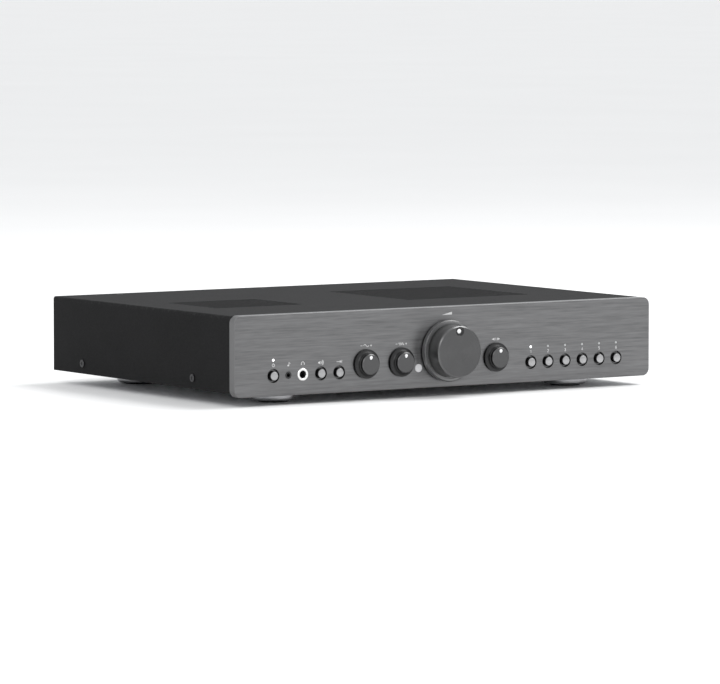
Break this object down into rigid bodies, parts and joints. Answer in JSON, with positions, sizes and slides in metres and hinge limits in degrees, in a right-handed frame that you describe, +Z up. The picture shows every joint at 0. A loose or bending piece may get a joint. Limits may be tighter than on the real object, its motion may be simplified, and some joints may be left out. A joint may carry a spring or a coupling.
{
  "type": "integrated amplifier",
  "caption": "Low, full-width hi-fi amplifier with a brushed front plate, a large stepped volume knob, small tone knobs, push buttons, and rear terminals in a vented steel case.",
  "frame": {"origin": "on the floor, under the middle of the bounding box", "axes": "+X to the right seen from the front, +Y to the back, +Z up; the fascia faces -Y"},
  "size_m": [0.43, 0.347, 0.077],
  "materials": {
    "brushed_face": "brushed along its length, clear anodised",
    "cover_paint": "fine black powder coat",
    "rear_paint": "fine dark grey powder coat",
    "zinc_steel": "zinc-plated sheet",
    "black_screw": "blackened",
    "plated_screw": "zinc-plated",
    "foot_metal": "turned, satin",
    "pad_rubber": "matte",
    "sensor_plastic": "pale, smooth",
    "lamp_plastic": "clear white, smooth",
    "jack_plastic": "moulded",
    "bright_ring": "polished",
    "plated_can": "pressed, plated",
    "circuit_board": "solder resist",
    "brass_fitting": "turned",
    "winding": "taped copper winding on an iron core",
    "black_anodised": "black anodised",
    "device_epoxy": "moulded epoxy",
    "capacitor_sleeve": "shrunk sleeve",
    "relay_case": "moulded",
    "gold_contact": "gold-plated",
    "inlet_plastic": "moulded, fine spark grain",
    "rocker_plastic": "moulded, satin",
    "ribbon_jacket": "flat ribbed",
    "lead_jacket": "smooth jacket",
    "volume_metal": "spun face, satin",
    "tone_metal": "spun face, satin",
    "button_metal": "satin",
    "shaft_steel": "turned",
    "cap_red": "moulded, translucent edge",
    "cap_black": "moulded"
  },
  "bodies": {
    "chassis": {"base_tray": "zinc_steel", "inner_front_plate": "zinc_steel", "rear_panel": "rear_paint", "top_cover": "cover_paint", "fascia": "brushed_face", "cover_screws": "black_screw", "chassis_screws": "plated_screw", "feet": "foot_metal", "foot_pads": "pad_rubber", "sensor_lens": "sensor_plastic", "lamp_lenses": "lamp_plastic", "headphone_jack": "jack_plastic", "headphone_ring": "bright_ring", "aux_jack": "jack_plastic", "volume_control": "plated_can", "tone_controls": "plated_can", "control_board": "circuit_board", "key_switches": "jack_plastic", "main_board": "circuit_board", "board_standoffs": "brass_fitting", "transformer": "winding", "transformer_clamp": "plated_screw", "heatsink": "black_anodised", "output_transistors": "device_epoxy", "smoothing_capacitors": "capacitor_sleeve", "speaker_relay": "relay_case", "input_board": "circuit_board", "phono_sockets": "gold_contact", "mains_inlet": "inlet_plastic", "rocker_frame": "inlet_plastic", "post_barrels": "gold_contact", "post_collars": "inlet_plastic", "ribbon_cable": "ribbon_jacket", "power_leads": "lead_jacket"},
    "volume_knob_body": {"volume_knob": "volume_metal", "volume_shaft": "shaft_steel"},
    "bass_knob_body": {"bass_knob": "tone_metal", "bass_shaft": "shaft_steel"},
    "treble_knob_body": {"treble_knob": "tone_metal", "treble_shaft": "shaft_steel"},
    "balance_knob_body": {"balance_knob": "tone_metal", "balance_shaft": "shaft_steel"},
    "standby_button_body": {"standby_button": "button_metal"},
    "speaker_button_body": {"speaker_button": "button_metal"},
    "direct_button_body": {"direct_button": "button_metal"},
    "source_button_1_body": {"source_button_1": "button_metal"},
    "source_button_2_body": {"source_button_2": "button_metal"},
    "source_button_3_body": {"source_button_3": "button_metal"},
    "source_button_4_body": {"source_button_4": "button_metal"},
    "source_button_5_body": {"source_button_5": "button_metal"},
    "source_button_6_body": {"source_button_6": "button_metal"},
    "power_rocker_body": {"power_rocker": "rocker_plastic"},
    "clamp_washer_1_body": {"clamp_washer_1": "gold_contact"},
    "post_cap_1_body": {"post_cap_1": "cap_red"},
    "clamp_washer_2_body": {"clamp_washer_2": "gold_contact"},
    "post_cap_2_body": {"post_cap_2": "cap_black"},
    "clamp_washer_3_body": {"clamp_washer_3": "gold_contact"},
    "post_cap_3_body": {"post_cap_3": "cap_red"},
    "clamp_washer_4_body": {"clamp_washer_4": "gold_contact"},
    "post_cap_4_body": {"post_cap_4": "cap_black"}
  },
  "joints": [
    {"name": "volume_turn", "type": "hinge", "parent": "chassis", "child": "volume_knob_body", "pos_m": [0, -0.1535, 0.039], "axis": [0, 1, 0], "range_deg": [-150, 150]},
    {"name": "bass_turn", "type": "hinge", "parent": "chassis", "child": "bass_knob_body", "pos_m": [-0.0829, -0.1535, 0.0312], "axis": [0, 1, 0], "range_deg": [-140, 140]},
    {"name": "treble_turn", "type": "hinge", "parent": "chassis", "child": "treble_knob_body", "pos_m": [-0.047, -0.1535, 0.0312], "axis": [0, 1, 0], "range_deg": [-140, 140]},
    {"name": "balance_turn", "type": "hinge", "parent": "chassis", "child": "balance_knob_body", "pos_m": [0.0511, -0.1535, 0.0312], "axis": [0, 1, 0], "range_deg": [-140, 140]},
    {"name": "standby_press", "type": "slide", "parent": "chassis", "child": "standby_button_body", "axis": [0, 1, 0], "range_m": [0, 0.0012], "stiffness_N_per_m": 400, "springref_m": -0.002},
    {"name": "speaker_press", "type": "slide", "parent": "chassis", "child": "speaker_button_body", "axis": [0, 1, 0], "range_m": [0, 0.0012], "stiffness_N_per_m": 400, "springref_m": -0.002},
    {"name": "direct_press", "type": "slide", "parent": "chassis", "child": "direct_button_body", "axis": [0, 1, 0], "range_m": [0, 0.0012], "stiffness_N_per_m": 400, "springref_m": -0.002},
    {"name": "source_1_press", "type": "slide", "parent": "chassis", "child": "source_button_1_body", "axis": [0, 1, 0], "range_m": [0, 0.0012], "stiffness_N_per_m": 400, "springref_m": -0.002},
    {"name": "source_2_press", "type": "slide", "parent": "chassis", "child": "source_button_2_body", "axis": [0, 1, 0], "range_m": [0, 0.0012], "stiffness_N_per_m": 400, "springref_m": -0.002},
    {"name": "source_3_press", "type": "slide", "parent": "chassis", "child": "source_button_3_body", "axis": [0, 1, 0], "range_m": [0, 0.0012], "stiffness_N_per_m": 400, "springref_m": -0.002},
    {"name": "source_4_press", "type": "slide", "parent": "chassis", "child": "source_button_4_body", "axis": [0, 1, 0], "range_m": [0, 0.0012], "stiffness_N_per_m": 400, "springref_m": -0.002},
    {"name": "source_5_press", "type": "slide", "parent": "chassis", "child": "source_button_5_body", "axis": [0, 1, 0], "range_m": [0, 0.0012], "stiffness_N_per_m": 400, "springref_m": -0.002},
    {"name": "source_6_press", "type": "slide", "parent": "chassis", "child": "source_button_6_body", "axis": [0, 1, 0], "range_m": [0, 0.0012], "stiffness_N_per_m": 400, "springref_m": -0.002},
    {"name": "power_rock", "type": "hinge", "parent": "chassis", "child": "power_rocker_body", "pos_m": [-0.1, 0.1455, 0.042], "axis": [1, 0, 0], "range_deg": [0, 16]},
    {"name": "washer_1_slide", "type": "slide", "parent": "chassis", "child": "clamp_washer_1_body", "axis": [0, 1, 0], "range_m": [0, 0.004]},
    {"name": "cap_1_turn", "type": "hinge", "parent": "clamp_washer_1_body", "child": "post_cap_1_body", "pos_m": [0.0545, 0.1625, 0.042], "axis": [0, 1, 0], "range_deg": [0, 1440]},
    {"name": "washer_2_slide", "type": "slide", "parent": "chassis", "child": "clamp_washer_2_body", "axis": [0, 1, 0], "range_m": [0, 0.004]},
    {"name": "cap_2_turn", "type": "hinge", "parent": "clamp_washer_2_body", "child": "post_cap_2_body", "pos_m": [0.0355, 0.1625, 0.042], "axis": [0, 1, 0], "range_deg": [0, 1440]},
    {"name": "washer_3_slide", "type": "slide", "parent": "chassis", "child": "clamp_washer_3_body", "axis": [0, 1, 0], "range_m": [0, 0.004]},
    {"name": "cap_3_turn", "type": "hinge", "parent": "clamp_washer_3_body", "child": "post_cap_3_body", "pos_m": [0, 0.1625, 0.042], "axis": [0, 1, 0], "range_deg": [0, 1440]},
    {"name": "washer_4_slide", "type": "slide", "parent": "chassis", "child": "clamp_washer_4_body", "axis": [0, 1, 0], "range_m": [0, 0.004]},
    {"name": "cap_4_turn", "type": "hinge", "parent": "clamp_washer_4_body", "child": "post_cap_4_body", "pos_m": [-0.019, 0.1625, 0.042], "axis": [0, 1, 0], "range_deg": [0, 1440]}
  ],
  "couplings": [
    {"joint": "cap_1_turn", "follows": "washer_1_slide", "rad_per_m": 6283.2},
    {"joint": "cap_2_turn", "follows": "washer_2_slide", "rad_per_m": 6283.2},
    {"joint": "cap_3_turn", "follows": "washer_3_slide", "rad_per_m": 6283.2},
    {"joint": "cap_4_turn", "follows": "washer_4_slide", "rad_per_m": 6283.2}
  ]
}
